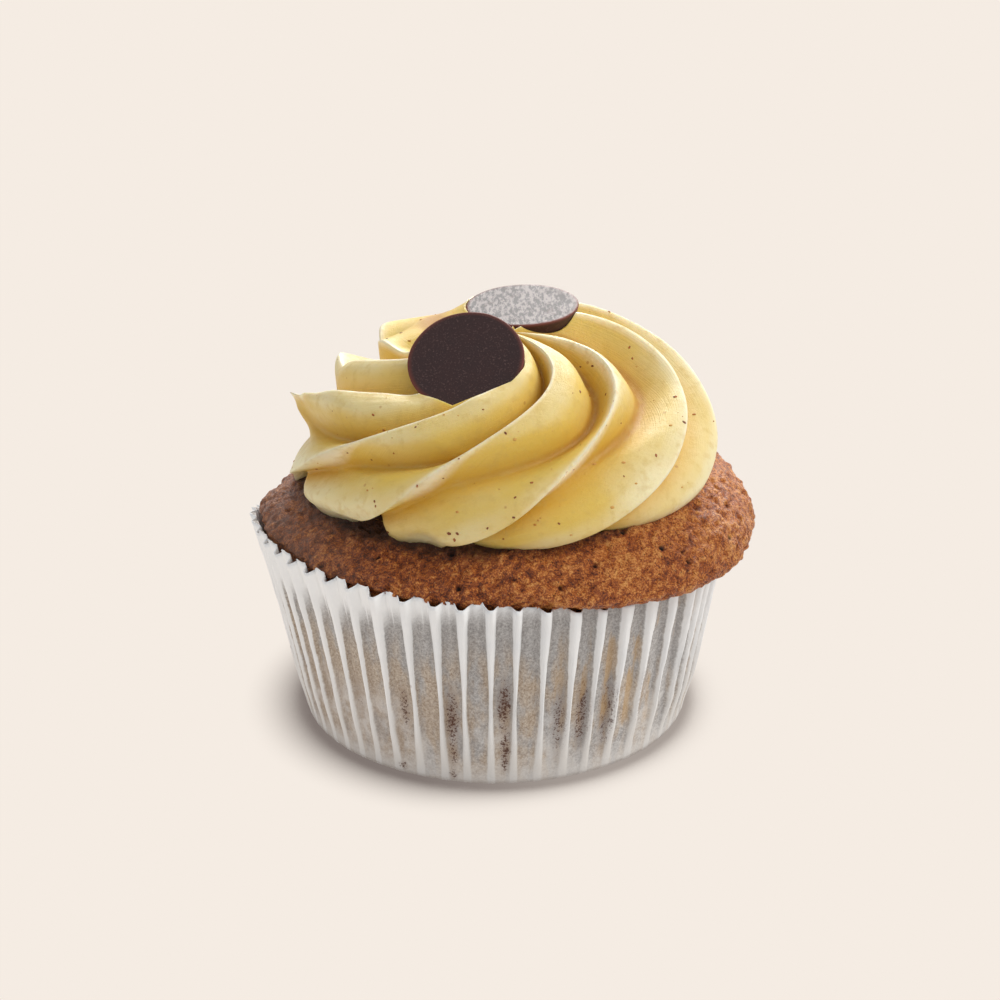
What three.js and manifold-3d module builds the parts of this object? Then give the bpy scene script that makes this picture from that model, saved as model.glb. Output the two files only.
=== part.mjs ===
// Iced cupcake in its pleated paper case, with two chocolate discs on the icing.
// Millimetres, +Z up; the case stands on z = 0 round the z axis and the front looks along -Y.
import * as THREE from "three";
import { mergeVertices } from "three/addons/utils/BufferGeometryUtils.js";
import Module from "manifold-3d";

// Paper case
const CASE_BASE_RADIUS = 25.0;
const CASE_SLOPE = 0.19;
const CASE_RIM_HEIGHT = 25.6;
const CASE_RIM_LEAN = 1.4;
const CASE_RIM_PRESSED = 0.9;
const PLEAT_COUNT = 56;
const PLEAT_DEPTH_TOP = 1.5;
const PLEAT_DEPTH_FOOT = 0.3;
const PLEAT_SHALLOWER_LEFT = 0.8;
const CASE_RIM_BEHIND = 2.2;
const CASE_LEAN = [0.9, -1.0];
const CASE_TUCK_RIGHT = [0.2, 0.4];
const PLEAT_WANDER = 0.09;
const PAPER_THICKNESS = 0.35;
const CASE_LEVELS = [0, 0.9, 4.2, 10.5, 1e3];

// Cake
const GAP = 0.3;
const CAKE_COLUMNS = 86;
const CROWN_OVERHANG = 5.3;
const CROWN_FULLNESS = [2, 3.4];
const CROWN_TOP = 34.4;
const SEAT_RADIUS = 22;
const PLATEAU_RADIUS = 15;
const PLATEAU_HEIGHT = 32.6;
const CRAG_HEIGHT = 0.3;

// Piped icing
const ARM_COUNT = 9;
const ARM_COLUMNS = 11;
const FIRST_ARM = 2.292;
const TWIST = [2.294, -3.07, 2.798];
const ARM_SHIFT = [-0.16, 0.19, 0.207, 0.033, -0.209, -0.175, -0.03, 0.077, 0.007];
const ARM_SWEEP = [0.43, -0.202, -0.504, -0.335, 0.217, -0.05, 0.1, 0.5, 0.3];
const CREASE_DEPTH = [3.9, 3.6, 3.6, 3.9, 3.2, 3.0, 1.4, 4.2, 3.6];
const CREASE_FOOT = [0.5, 0.62, 0.7, 0.85, 0.5, 0.3, 0.4, 0.4, 0.4];
const CREASE_AT_FOOT = [0.35, 0.1, 0.1, 0.08, 0.2, 0.3, 0.4, 0.4, 0.4];
const CREASE_AT_TOP = [0.86, 0.82, 0.8, 0.62, 0.5, 0.45, 0.4, 0.45, 0.7];
const CREASE_LEAVES = [0.28, 0.25, 0.25, 0.38, 0.1, 0.1, 0.1, 0.1, 0.1];
const CREASE_ARRIVES = [0.5, 0.48, 0.58, 0.65, 0.5, 0.5, 0.5, 0.5, 0.5];
// Hollows and bulges of the hand-piped arms: angle, height, width, tallness, depth
const ICING_DENTS = [
  [3.2, 36.4, 0.4, 1.8, 0.9],
  [3.2, 33.9, 0.4, 1.9, 1.7],
  [3.17, 39.4, 0.3, 1.4, -1.4],
  [3.1, 39.3, 0.09, 1.0, -0.8],
  [2.98, 39.9, 0.06, 0.8, 1.1],
  [3.2, 30.6, 0.2, 0.9, -0.9],
  [3.95, 31.2, 0.22, 1.5, 1.5],
  [3.55, 32.6, 0.22, 2.0, -1.2],
  [3.3, 42.0, 0.14, 1.0, -0.7],
  [3.52, 44.2, 0.25, 1.5, -0.9],
  [2.88, 43.1, 0.24, 2.4, 1.9],
  [2.6, 45.6, 0.24, 1.2, 2.6],
  [3.06, 48.2, 0.2, 0.7, 1.5],
  [3.95, 46.9, 0.2, 0.9, 1.0],
  [4.4, 46.9, 0.18, 0.6, -0.35],
  [4.78, 48.5, 0.12, 0.5, -0.3],
  [4.06, 33.4, 0.09, 1.4, 0.6],
  [4.14, 31.6, 0.08, 1.3, -1.1],
  [4.36, 31.6, 0.09, 1.8, 1.1],
];
const ICING_LIFT = 2.0;
const ICING_LIFT_SIDE = 1.4;
const ICING_RADIUS = 26.9;
const ICING_FOOT_TUCK = 2.6;
const ICING_FOOT_HEIGHT = 31.0;
const ICING_WAIST = 35.0;
const ICING_TOP = 49.6;
const ICING_CENTRE_FOOT = [0.7, 0];
const ICING_FULLNESS = 0.92;
const ICING_CENTRE_TOP = [2.0, -1.5];
const ICING_RINGS = 22;

// Chocolate discs: centre of the face, direction the face looks in
const DISC_RADIUS = 6.9;
const DISC_THICKNESS = 1.7;
const DISC_TAPER = 0.35;
const DISC_FRONT_AT = [-3.15, -9.7, 49.1];
const DISC_FRONT_FACES = [-0.108, -0.569, 0.815];
const DISC_BACK_AT = [3.65, 7.0, 50.1];
const DISC_BACK_FACES = [-0.032, -0.04, 0.999];
const DISC_CLEAR_HEIGHT = 6;
const DISC_COVER_FROM = 4.4;
const DISC_COVER_SIDE = [-0.3769, 0.3305, 0.8653];

const wasm = await Module();
wasm.setup();

const TURN = Math.PI * 2;
const clamp = (x) => Math.min(1, Math.max(0, x));
const mix = (a, b, t) => a + (b - a) * t;
const ease = (lo, hi, x) => {
  const t = clamp((x - lo) / (hi - lo));
  return t * t * (3 - 2 * t);
};

// Repeatable scatter: a number from 0 to 1 for each whole-number place
function scatter(i, j = 0, k = 0) {
  const s = Math.sin(i * 127.1 + j * 311.7 + k * 74.7) * 43758.5453;
  return s - Math.floor(s);
}

// Smooth lumps made from the scatter, between -1 and 1
function lumps(x, y, z) {
  const [i, j, k] = [Math.floor(x), Math.floor(y), Math.floor(z)];
  const [u, v, w] = [ease(0, 1, x - i), ease(0, 1, y - j), ease(0, 1, z - k)];
  const edge = (b, c) => mix(scatter(i, b, c), scatter(i + 1, b, c), u);
  const face = (c) => mix(edge(j, c), edge(j + 1, c), v);
  return 2 * mix(face(k), face(k + 1), w) - 1;
}

// Closed body from rings of points, from one middle point to another, rings turning to the left
function ringsToGeometry(rings, firstPoint, lastPoint) {
  const n = rings[0].length;
  const positions = [...firstPoint, ...rings.flat(2), ...lastPoint];
  const last = rings.length * n + 1;
  const index = [];
  for (let i = 0; i < n; i++) {
    const j = (i + 1) % n;
    index.push(0, 1 + j, 1 + i);
    for (let r = 0; r + 1 < rings.length; r++) {
      const a = 1 + r * n + i;
      const b = 1 + r * n + j;
      index.push(a, b, b + n, a, b + n, a + n);
    }
    index.push(last - n + i, last - n + j, last);
  }
  const g = new THREE.BufferGeometry();
  g.setAttribute("position", new THREE.Float32BufferAttribute(positions, 3));
  g.setIndex(index);
  return g;
}

const polar = (r, a, z) => [r * Math.cos(a), r * Math.sin(a), z];

// Paper case: the left side leans out and stands higher, the right side sits under the crown
const rightward = (a) => Math.cos(a + 0.09);
const leftward = (a) => Math.max(0, -Math.cos(a));

function rimHeight(a) {
  const pressed = CASE_RIM_PRESSED * ease(0.1, 0.6, rightward(a));
  const behind = CASE_RIM_BEHIND * leftward(a) * ease(-0.25, 0.35, Math.sin(a));
  return CASE_RIM_HEIGHT - CASE_RIM_LEAN * Math.cos(a) - 0.35 * Math.sin(a) - pressed - behind;
}

function foldRadius(z, a) {
  const leaning = leftward(a) * (CASE_LEAN[0] * (z / 26) ** 3 + CASE_LEAN[1]);
  const tucked = Math.max(0, Math.cos(a)) * (CASE_TUCK_RIGHT[0] + CASE_TUCK_RIGHT[1] * (z / 26) ** 2);
  return CASE_BASE_RADIUS + CASE_SLOPE * z + leaning - tucked;
}

function pleatDepth(z, a) {
  const top = PLEAT_DEPTH_TOP - PLEAT_SHALLOWER_LEFT * leftward(a) ** 2;
  return mix(PLEAT_DEPTH_FOOT, top, Math.pow(clamp(z / 24), 0.55));
}

const columnRadius = (z, a) => foldRadius(z, a) - pleatDepth(z, a);
const insideRadius = (z, a) => columnRadius(z, a) - PAPER_THICKNESS - GAP;

// One level of the fluted wall: two points on each outward fold, two on each inward column
function pleatRing(level, inner) {
  const ring = [];
  const footTuck = level === 0 ? 0.25 : 0;
  for (let p = 0; p < PLEAT_COUNT; p++) {
    const wander = PLEAT_WANDER * (scatter(p, 3) - 0.5) + 0.1 * (scatter(p, level, 5) - 0.5);
    const fold = 1 + 0.35 * (scatter(p, 7) - 0.5);
    const places = inner ? [-0.028, 0.028, 0.17, 0.83] : [-0.085, 0.085, 0.22, 0.78];
    places.forEach((place, k) => {
      const a = ((p + place + (k < 2 ? wander : 0)) / PLEAT_COUNT) * TURN;
      const rim = rimHeight(a);
      const scallop = k < 2 ? -0.4 : 0.15 + 0.3 * Math.max(0, -Math.cos(a)) * scatter(p, 11);
      const z = Math.min(level, rim + scallop);
      const height = inner && level === 0 ? PAPER_THICKNESS : z;
      let r = columnRadius(z, a) - footTuck;
      if (k < 2) {
        r += pleatDepth(z, a) * fold;
      }
      if (inner) {
        r -= k < 2 ? PAPER_THICKNESS * 1.5 : PAPER_THICKNESS;
      }
      ring.push(polar(r, a, height));
    });
  }
  return ring;
}

function caseGeometry() {
  const outer = CASE_LEVELS.map((level) => pleatRing(level, false));
  const inner = CASE_LEVELS.map((level) => pleatRing(level, true)).reverse();
  return ringsToGeometry([...outer, ...inner], [0, 0, 0], [0, 0, PAPER_THICKNESS]);
}

// Cake: how far the crown hangs over the rim, and where it is widest
const overhang = (a) => CROWN_OVERHANG * ease(0.05, 1, rightward(a));
const hangs = (a) => ease(-0.2, 0.25, rightward(a));
const nestles = (a) => mix(-1.2, 0, ease(-0.75, -0.2, rightward(a)));
const widestHeight = (a) => rimHeight(a) + mix(nestles(a), 1.5, hangs(a));
const crownRadius = (a) => insideRadius(Math.min(26, widestHeight(a)), a) + overhang(a);

// Underside of the crown; it never draws in behind the paper
function lipRadius(z, a, inset) {
  const inside = insideRadius(z, a);
  return mix(inside, Math.max(inside, crownRadius(a) - inset), hangs(a));
}

// Height of the crown without its crags; the seat of the icing is plain
function crownHeight(r, a) {
  const wide = crownRadius(a);
  const low = widestHeight(a);
  const full = mix(...CROWN_FULLNESS, ease(-0.2, 0.9, rightward(a)));
  const dome = (q) => low + (CROWN_TOP - low) * Math.sqrt(Math.max(0, 1 - (q / wide) ** full));
  if (r >= SEAT_RADIUS) {
    return dome(r);
  }
  const t = clamp((r - PLATEAU_RADIUS) / (SEAT_RADIUS - PLATEAU_RADIUS));
  return mix(PLATEAU_HEIGHT, dome(SEAT_RADIUS), t);
}

function crags(x, y, z, r) {
  const rise = 0.6 * lumps(x * 0.42, y * 0.42, z * 0.42) + 0.4 * lumps(x * 0.95, y * 0.95, z * 0.95);
  return CRAG_HEIGHT * rise * ease(24.5, 27.5, r);
}

function cakeGeometry() {
  const foot = PAPER_THICKNESS + GAP;
  const body = (z) => (a) => [insideRadius(z, a), z];
  const levels = [
    (a) => [insideRadius(foot, a) - 1.6, foot],
    body(2.2),
    body(11),
    (a) => [insideRadius(widestHeight(a) - 3.4, a), widestHeight(a) - 3.4],
    (a) => {
      const z = mix(widestHeight(a) - 1.6, rimHeight(a) + 0.5, hangs(a));
      return [insideRadius(Math.min(z, rimHeight(a)), a), z];
    },
    (a) => {
      const z = mix(widestHeight(a) - 0.9, rimHeight(a) + 0.55, hangs(a));
      return [lipRadius(z, a, 1.8), z];
    },
    (a) => {
      const z = mix(widestHeight(a) - 0.4, rimHeight(a) + 0.9, hangs(a));
      return [lipRadius(z, a, 0.7), z];
    },
  ];
  const plain = levels.length;
  const steps = 8;
  for (let m = 0; m < steps; m++) {
    const inward = Math.cos(((m / (steps - 1)) * Math.PI) / 2);
    levels.push((a) => {
      const r = mix(SEAT_RADIUS, crownRadius(a), inward);
      return [r, crownHeight(r, a)];
    });
  }
  levels.push((a) => [PLATEAU_RADIUS, PLATEAU_HEIGHT]);
  const rings = levels.map((level, m) => {
    const ring = [];
    for (let i = 0; i < CAKE_COLUMNS; i++) {
      const a = (i / CAKE_COLUMNS) * TURN;
      const [r, z] = level(a);
      const [x, y] = polar(r, a, z);
      const rise = m < plain ? 0 : crags(x, y, z, r);
      const outward = rise * (m === plain ? 1 : 0.45) * hangs(a);
      ring.push(polar(r + outward, a, m > plain ? z + rise : z));
    }
    return ring;
  });
  return ringsToGeometry(rings, [0, 0, foot], [0, 0, PLATEAU_HEIGHT]);
}

// Icing: nine arms swept from the foot to the middle, cut by creases between sharp crests
const climb = (z) => clamp((z - ICING_FOOT_HEIGHT) / (ICING_TOP - ICING_FOOT_HEIGHT));

function armAngle(k, s) {
  const lap = Math.floor(k / ARM_COUNT);
  const arm = k - lap * ARM_COUNT;
  const twist = s * (TWIST[0] + s * (TWIST[1] + s * TWIST[2]));
  const own = ARM_SHIFT[arm] + ARM_SWEEP[arm] * s;
  return FIRST_ARM + (k / ARM_COUNT) * TURN + own + twist;
}

function icingCentre(z) {
  const t = Math.pow(climb(z), 1.5);
  return [0, 1].map((i) => mix(ICING_CENTRE_FOOT[i], ICING_CENTRE_TOP[i], t));
}

// Outline through the crests, as a point and the direction it faces, for a climb from 0 to 1
function icingOutline(u) {
  const waist = 0.1;
  if (u < waist) {
    const t = 1 - u / waist;
    const r = ICING_RADIUS - ICING_FOOT_TUCK * t * t * t;
    return { r, z: mix(ICING_WAIST, ICING_FOOT_HEIGHT, t), out: 1, up: -0.35 * t };
  }
  const q = (((u - waist) / (1 - waist)) * Math.PI) / 2;
  const tall = ICING_TOP - ICING_WAIST;
  const out = tall * Math.cos(q);
  const up = ICING_RADIUS * Math.sin(q);
  const long = Math.hypot(out, up);
  return {
    r: ICING_RADIUS * Math.pow(Math.cos(q), ICING_FULLNESS),
    z: ICING_WAIST + tall * Math.sin(q),
    out: out / long,
    up: up / long,
  };
}

// Depth below the outline, from one crest (0) to the next (1); the crease is nearer to one of them
function creaseShape(arm, f, u) {
  const blunt = mix(1.9, 1.1, ease(0, 0.3, u));
  const crossed = ease(CREASE_LEAVES[arm], CREASE_ARRIVES[arm], u);
  const lowest = mix(CREASE_AT_FOOT[arm], CREASE_AT_TOP[arm], crossed);
  const skew = Math.log(0.5) / Math.log(lowest);
  return Math.pow(Math.max(0, Math.sin(Math.PI * Math.pow(f, skew))), blunt);
}

// Extra depth where the arms were pressed in or bulge out
function dentDepth(a, z) {
  return ICING_DENTS.reduce((depth, [side, level, wide, tall, dent]) => {
    const apart = ((((a - side + Math.PI) % TURN) + TURN) % TURN) - Math.PI;
    return depth + dent * Math.exp(-((apart / wide) ** 2) - ((z - level) / tall) ** 2);
  }, 0);
}

function icingPoint(arm, f, u) {
  const { r, z, out, up } = icingOutline(u);
  const s = climb(z);
  const a = mix(armAngle(arm, s), armAngle(arm + 1, s), f);
  const own = CREASE_DEPTH[arm % ARM_COUNT];
  const grows = mix(CREASE_FOOT[arm % ARM_COUNT], 1, ease(0, 0.22, u));
  const lift = ICING_LIFT * ease(0.25, 0.75, s) * Math.max(0, Math.cos(a - ICING_LIFT_SIDE)) * ease(0, 9, r);
  const creased = Math.min(own * grows, 0.06 + 0.3 * r) * creaseShape(arm % ARM_COUNT, f, u);
  const depth = creased + dentDepth(a, z);
  const [cx, cy] = icingCentre(z);
  const reach = Math.max(0.2, r - depth * out);
  return [cx + reach * Math.cos(a), cy + reach * Math.sin(a), z + lift - depth * up];
}

function icingGeometry() {
  const columns = ARM_COUNT * ARM_COLUMNS;
  const column = (i, u) => icingPoint(Math.floor(i / ARM_COLUMNS), (i % ARM_COLUMNS) / ARM_COLUMNS, u);
  const seatPoint = (x, y) => [x, y, crownHeight(Math.hypot(x, y), Math.atan2(y, x)) + GAP];
  const seatRing = (radius) => (i) => {
    const [x, y] = column(i, 0);
    const share = radius / Math.hypot(x, y);
    return seatPoint(x * share, y * share);
  };
  const makers = [seatRing(PLATEAU_RADIUS), seatRing(SEAT_RADIUS)];
  makers.push((i) => {
    const [x, y] = column(i, 0);
    return seatPoint(x, y);
  });
  for (let m = 1; m <= ICING_RINGS; m++) {
    const t = m / (ICING_RINGS + 0.6);
    makers.push((i) => column(i, mix(0.03, 1, Math.pow(t, 0.9))));
  }
  const rings = makers.map((maker) => Array.from({ length: columns }, (_, i) => maker(i)));
  const middle = [...ICING_CENTRE_TOP, ICING_TOP - 0.5];
  return ringsToGeometry(rings, [0, 0, PLATEAU_HEIGHT + GAP], middle);
}

// Disc: flat face up, edge eased, sides drawn in a little towards the back
function discGeometry(grow, above = grow) {
  const r = DISC_RADIUS + grow;
  const t = DISC_THICKNESS + grow;
  const bevel = 0.18;
  const profile = [
    [0, -t],
    [r - DISC_TAPER - bevel, -t],
    [r - DISC_TAPER, -t + bevel],
    [r, above - bevel],
    [r - bevel, above],
    [0, above],
  ].map(([x, y]) => new THREE.Vector2(x, y));
  const g = new THREE.LatheGeometry(profile, 48);
  g.rotateX(Math.PI / 2);
  return g;
}

function placeDisc(geometry, at, faces) {
  const direction = new THREE.Vector3(...faces).normalize();
  const turn = new THREE.Quaternion().setFromUnitVectors(new THREE.Vector3(0, 0, 1), direction);
  return geometry.applyQuaternion(turn).translate(...at);
}

function solidOf(geometry) {
  const bare = geometry.clone();
  bare.deleteAttribute("normal");
  bare.deleteAttribute("uv");
  const merged = mergeVertices(bare, 1e-4);
  return new wasm.Manifold(
    new wasm.Mesh({
      numProp: 3,
      vertProperties: merged.attributes.position.array,
      triVerts: new Uint32Array(merged.index.array),
    }),
  );
}

function geometryOf(solid) {
  const mesh = solid.getMesh();
  const g = new THREE.BufferGeometry();
  g.setAttribute("position", new THREE.BufferAttribute(mesh.vertProperties, 3));
  g.setIndex(new THREE.BufferAttribute(mesh.triVerts, 1));
  return g;
}

const largest = (solid) => solid.decompose().sort((a, b) => b.volume() - a.volume())[0];

// The discs press their own beds into the icing; one arm laps over the low edge of the front disc
function beddedIcing() {
  const frontBed = placeDisc(discGeometry(GAP), DISC_FRONT_AT, DISC_FRONT_FACES);
  const backBed = placeDisc(discGeometry(GAP), DISC_BACK_AT, DISC_BACK_FACES);
  const clearing = placeDisc(discGeometry(GAP, DISC_CLEAR_HEIGHT), DISC_FRONT_AT, DISC_FRONT_FACES);
  const clearingBack = placeDisc(discGeometry(GAP, DISC_CLEAR_HEIGHT), DISC_BACK_AT, DISC_BACK_FACES);
  const centre = new THREE.Vector3(...DISC_FRONT_AT);
  const coverOffset = centre.dot(new THREE.Vector3(...DISC_COVER_SIDE)) - DISC_COVER_FROM;
  const cleared = solidOf(clearing).trimByPlane(DISC_COVER_SIDE, coverOffset);
  const beds = solidOf(frontBed).add(solidOf(backBed)).add(cleared).add(solidOf(clearingBack));
  return geometryOf(largest(solidOf(icingGeometry()).subtract(beds)));
}

const group = new THREE.Group();

function addNode(name, geometry, color, roughness, metalness = 0) {
  const material = new THREE.MeshStandardMaterial({ color, roughness, metalness });
  const mesh = new THREE.Mesh(geometry, material);
  mesh.name = name;
  group.add(mesh);
}

addNode("paper_case", caseGeometry(), "#dcdad4", 0.85);
addNode("cake", cakeGeometry(), "#8a4f2a", 0.7);
addNode("icing", beddedIcing(), "#e9c77c", 0.55);
const frontDisc = placeDisc(discGeometry(0), DISC_FRONT_AT, DISC_FRONT_FACES);
const backDisc = placeDisc(discGeometry(0), DISC_BACK_AT, DISC_BACK_FACES);
addNode("chocolate_disc_front", frontDisc, "#33211f", 0.6);
addNode("chocolate_disc_back", backDisc, "#33211f", 0.6);

export default group;
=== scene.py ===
# %% [markdown]
# # A cupcake in its paper case, dressed for the camera
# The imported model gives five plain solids: the paper, the cake, the icing and two chocolate discs.
# Each one is replaced here by a finer piece of the same form, made from the same sizes.
# All lengths in the formulas are millimetres; a mesh is turned into metres when it is built.

import bmesh
import bpy
import numpy as np
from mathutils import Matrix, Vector


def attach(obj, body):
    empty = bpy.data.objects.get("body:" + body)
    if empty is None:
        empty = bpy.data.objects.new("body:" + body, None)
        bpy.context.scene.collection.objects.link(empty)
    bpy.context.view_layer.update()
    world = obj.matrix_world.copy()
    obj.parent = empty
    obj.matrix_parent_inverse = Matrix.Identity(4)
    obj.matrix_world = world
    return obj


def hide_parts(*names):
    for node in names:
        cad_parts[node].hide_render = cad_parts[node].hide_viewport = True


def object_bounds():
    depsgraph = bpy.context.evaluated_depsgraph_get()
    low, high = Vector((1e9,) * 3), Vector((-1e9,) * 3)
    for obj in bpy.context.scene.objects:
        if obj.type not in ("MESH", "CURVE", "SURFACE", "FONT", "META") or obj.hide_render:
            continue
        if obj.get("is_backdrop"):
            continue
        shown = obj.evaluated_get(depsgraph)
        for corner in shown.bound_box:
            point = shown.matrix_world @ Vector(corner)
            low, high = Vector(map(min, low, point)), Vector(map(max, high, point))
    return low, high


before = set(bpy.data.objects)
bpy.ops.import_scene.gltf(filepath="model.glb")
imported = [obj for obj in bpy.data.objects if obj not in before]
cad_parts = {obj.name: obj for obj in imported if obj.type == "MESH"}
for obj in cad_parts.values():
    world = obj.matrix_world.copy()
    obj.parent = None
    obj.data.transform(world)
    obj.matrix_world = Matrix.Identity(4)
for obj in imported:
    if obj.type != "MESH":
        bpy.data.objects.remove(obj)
cad_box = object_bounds()
MM = 0.001
TURN = 2 * np.pi
print("nodes", sorted(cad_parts))

# %% [markdown]
# Everything new enters the scene through one helper, and stays at the origin unless it is moved.


# %% Add an object
def add_object(name, data):
    made = bpy.data.objects.new(name, data)
    bpy.context.scene.collection.objects.link(made)
    return made


# %% [markdown]
# The camera comes first, because every finish is judged through it.
# The real picture was taken from 34 cm away, a little above the icing, looking 24 degrees down.
# A long lens keeps the case from looking like a funnel.

# %% Camera
LOOKS_DOWN = 24.39
camera_data = bpy.data.cameras.new("table_camera")
camera_data.lens = 97.85
camera_data.sensor_width = 36
camera_data.shift_x = 0.0073
camera_data.shift_y = 0.0511
camera_data.clip_end = 20
camera = add_object("table_camera", camera_data)
camera.location = (0, -0.3097, 0.1604)
camera.rotation_euler = (np.radians(90 - LOOKS_DOWN), 0, 0)
bpy.context.scene.camera = camera
print("camera", tuple(round(v, 4) for v in camera.location))

# %% [markdown]
# Two small helpers carry all the node work. A Wire is one output of a node, and it can be added,
# multiplied or compared like a number, which adds the Math node for it. A Bench is the tree being
# built. Its method node adds any node: what goes into its sockets, the output that is wanted, and the
# settings. The other methods are short names for the nodes used most.


# %% Wires and benches
def sum_of(operation):
    """A method that adds the Math node for one kind of sum."""
    return lambda wire, other: wire.maths(operation, other)


class Wire:
    """One output socket, used in sums like a number."""

    def __init__(self, bench, node, socket):
        self.bench, self.node, self.socket = bench, node, socket

    def maths(self, operation, *others):
        return self.bench.maths(operation, self, *others)

    def also(self, name):
        return Wire(self.bench, self.node, find_socket(self.node.outputs, name))

    def __rsub__(self, other):
        return self.bench.maths("SUBTRACT", other, self)

    __add__ = __radd__ = sum_of("ADD")
    __sub__ = sum_of("SUBTRACT")
    __mul__ = __rmul__ = sum_of("MULTIPLY")
    __truediv__ = sum_of("DIVIDE")
    __pow__ = sum_of("POWER")
    __gt__ = sum_of("GREATER_THAN")
    __lt__ = sum_of("LESS_THAN")


def find_socket(sockets, name):
    """By number, identifier or name, where an underscore may stand for a space."""
    if isinstance(name, int):
        return sockets[name]
    for key in ("identifier", "name"):
        for socket in sockets:
            if getattr(socket, key) in (name, name.replace("_", " ")):
                return socket
    raise KeyError(name)


class Bench:
    """A node tree being built."""

    def __init__(self, tree):
        self.tree = tree

    def node(self, kind, sockets=None, out=0, **settings):
        made = self.tree.nodes.new(kind)
        for name, value in settings.items():
            if name == "stops":
                ramp = made.color_ramp
                while len(ramp.elements) < len(value):
                    ramp.elements.new(0.5)
                for element, (place, colour) in zip(ramp.elements, value):
                    element.position, element.color = place, colour
            else:
                setattr(made, name, value)
        for name, value in (sockets or {}).items():
            socket = find_socket(made.inputs, name)
            if isinstance(value, Wire):
                self.tree.links.new(value.socket, socket)
            else:
                socket.default_value = value
        return Wire(self, made, find_socket(made.outputs, out) if len(made.outputs) else None)

    def maths(self, operation, *values):
        return self.node("ShaderNodeMath", dict(enumerate(values)), operation=operation)

    def step(self, low, high, value):
        """0 below low, 1 above high, smooth between."""
        sockets = {"Value": value, "From Min": low, "From Max": high}
        return self.node("ShaderNodeMapRange", sockets, interpolation_type="SMOOTHSTEP")

    def noise(self, where, scale, detail=2.0, rough=0.5):
        sockets = {"Vector": where, "Scale": scale, "Detail": detail, "Roughness": rough}
        return self.node("ShaderNodeTexNoise", sockets)

    def dots(self, where, scale, inner, outer, rare, rarer):
        """Round dots, in those cells only whose own number lies past rare."""
        near = self.node("ShaderNodeTexVoronoi", {"Vector": where, "Scale": scale}, "Distance")
        return self.step(outer, inner, near) * self.step(rare, rarer, near.also("Color"))

    def tint(self, amount, under, over):
        sockets = {"Factor_Float": amount, "A_Color": under, "B_Color": over}
        return self.node("ShaderNodeMix", sockets, "Result_Color", data_type="RGBA")

    def stretch(self, where, scale):
        return self.node("ShaderNodeMapping", {"Vector": where, "Scale": scale})

    def attribute(self, name):
        return self.node("ShaderNodeAttribute", None, "Fac", attribute_name=name)

    def split(self, vector):
        """X of a vector; also gives its Y and Z."""
        return self.node("ShaderNodeSeparateXYZ", {0: vector})

    def join(self, x, y, z):
        return self.node("ShaderNodeCombineXYZ", {0: x, 1: y, 2: z})

    def random(self, seed, **sockets):
        sockets["Seed"] = seed
        return self.node("FunctionNodeRandomValue", sockets, "Value_001", data_type="FLOAT")


# %% Colours as the eye names them
def srgb(red, green, blue):
    channels = np.array([red, green, blue]) / 255
    linear = np.where(channels <= 0.04045, channels / 12.92, ((channels + 0.055) / 1.055) ** 2.4)
    return (*linear.tolist(), 1.0)


# %% [markdown]
# Every finish is a Principled shader. What is the same all over is set on its own sockets, and what
# changes from place to place is linked in at the end.


# %% Start a finish
def cleared(data):
    """Empties the node tree of a material or a world."""
    data.use_nodes = True
    data.node_tree.nodes.clear()
    return Bench(data.node_tree)


def start_finish(name, specular, **fixed):
    material = bpy.data.materials.new(name)
    bench = cleared(material)
    shader = bench.node("ShaderNodeBsdfPrincipled", {"Specular_IOR_Level": specular, **fixed})
    bench.node("ShaderNodeOutputMaterial", {"Surface": shader})
    where = bench.node("ShaderNodeTexCoord", None, "Object")
    return material, bench, shader.node, where


def feed(bench, shader, **sockets):
    """Links what varies over the surface into the shader."""
    for name, value in sockets.items():
        bench.tree.links.new(value.socket, find_socket(shader.inputs, name))


def bumped(bench, height, distance, strength=1.0, under=None):
    sockets = {"Height": height, "Distance": distance, "Strength": strength}
    if under is not None:
        sockets["Normal"] = under
    return bench.node("ShaderNodeBump", sockets)


# %% [markdown]
# The sizes below are the ones the solids were made from. The paper, the cake and the icing all lean
# on each other, so the same few formulas are written once and used by every piece.


# %% Shared sizes
RIM_HEIGHT, RIM_LEAN, RIM_TIP = 25.6, 1.4, 0.35
FOOT_RADIUS, WALL_SLOPE, WALL_HEIGHT = 25.0, 0.19, 26
FOLD_AT_FOOT, FOLD_AT_TOP, FOLD_FULL_FROM = 0.3, 1.5, 24
PAPER_TO_CAKE = 0.65
CAKE_FOOT = 0.65
SEAT_RADIUS, SEAT_HEIGHT = 15, 32.6
DOME_FROM, DOME_TOP = 22, 34.4
BED_GAP = 0.1


def ease(low, high, x):
    t = np.clip((x - low) / (high - low), 0, 1)
    return t * t * (3 - 2 * t)


def mix(a, b, t):
    return a + (b - a) * t


def rightward(a):
    return np.cos(a + 0.09)


def leftward(a):
    return np.maximum(0, -np.cos(a))


def rim_height(a):
    pressed = 0.9 * ease(0.1, 0.6, rightward(a)) + 2.2 * leftward(a) * ease(-0.25, 0.35, np.sin(a))
    return RIM_HEIGHT - RIM_LEAN * np.cos(a) - RIM_TIP * np.sin(a) - pressed


def pleat_depth(z, a):
    deepest = FOLD_AT_TOP - 0.8 * leftward(a) ** 2
    return mix(FOLD_AT_FOOT, deepest, np.clip(z / FOLD_FULL_FROM, 0, 1) ** 0.55)


def column_radius(z, a):
    climb = z / WALL_HEIGHT
    leaning = leftward(a) * (0.9 * climb**3 - 1.0) - leftward(a + np.pi) * (0.2 + 0.4 * climb**2)
    return FOOT_RADIUS + WALL_SLOPE * z + leaning - pleat_depth(z, a)


def inside_radius(z, a):
    return column_radius(z, a) - PAPER_TO_CAKE


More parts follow.
